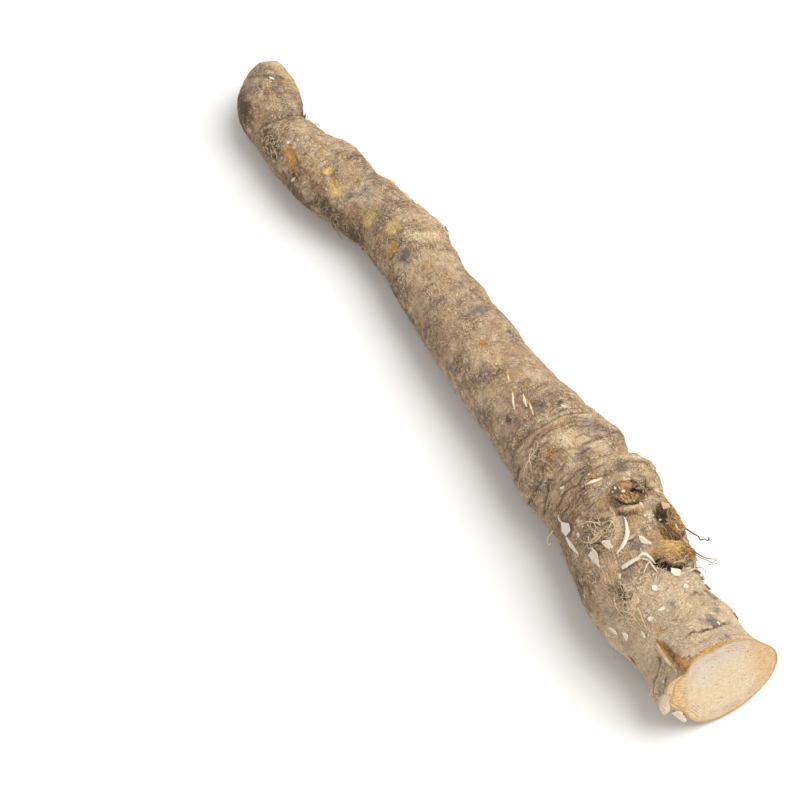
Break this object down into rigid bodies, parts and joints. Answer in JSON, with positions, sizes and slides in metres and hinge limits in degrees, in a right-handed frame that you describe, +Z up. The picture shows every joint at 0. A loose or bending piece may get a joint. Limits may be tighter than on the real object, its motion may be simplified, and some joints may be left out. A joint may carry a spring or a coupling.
{
  "type": "horseradish root",
  "caption": "Thick horseradish taproot lying on its side, with a square-cut crown, a knobbly scarred upper end and a bent, blunt tail.",
  "frame": {"origin": "on the surface that the root lies on, under the middle of its box", "axes": "+X along the root towards the cut crown, +Y to its far side, +Z up"},
  "size_m": [0.318, 0.0488, 0.0414],
  "materials": {
    "bark": "rough, dry, grey-brown bark with yellow-orange worn spots and a cream cut face"
  },
  "bodies": {
    "root": {"root": "bark"}
  },
  "joints": []
}
